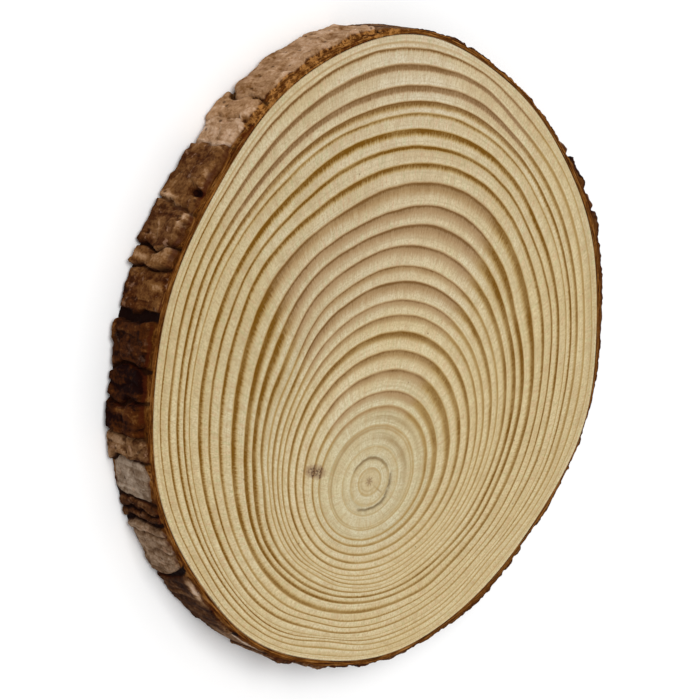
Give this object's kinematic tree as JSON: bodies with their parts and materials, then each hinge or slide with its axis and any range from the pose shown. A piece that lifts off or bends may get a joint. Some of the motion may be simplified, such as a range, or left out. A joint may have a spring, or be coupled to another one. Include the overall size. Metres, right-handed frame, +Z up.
{
  "type": "wood slice",
  "caption": "Round slice sawn across a pine stem, with growth rings on both flat faces and the rough bark left on round its edge, for use as a base, tray or plaque.",
  "frame": {"origin": "on the underside, in the middle of the outer box", "axes": "+Z up, out of the upper sawn face, along the stem; +X and +Y in the sawn faces, with the pith off centre towards -Y"},
  "size_m": [0.228, 0.2274, 0.02],
  "materials": {
    "wood": "sanded, bare, matte",
    "bark": "rough natural bark, dry and matte"
  },
  "bodies": {
    "root": {"wood": "wood", "bark": "bark"}
  },
  "joints": []
}
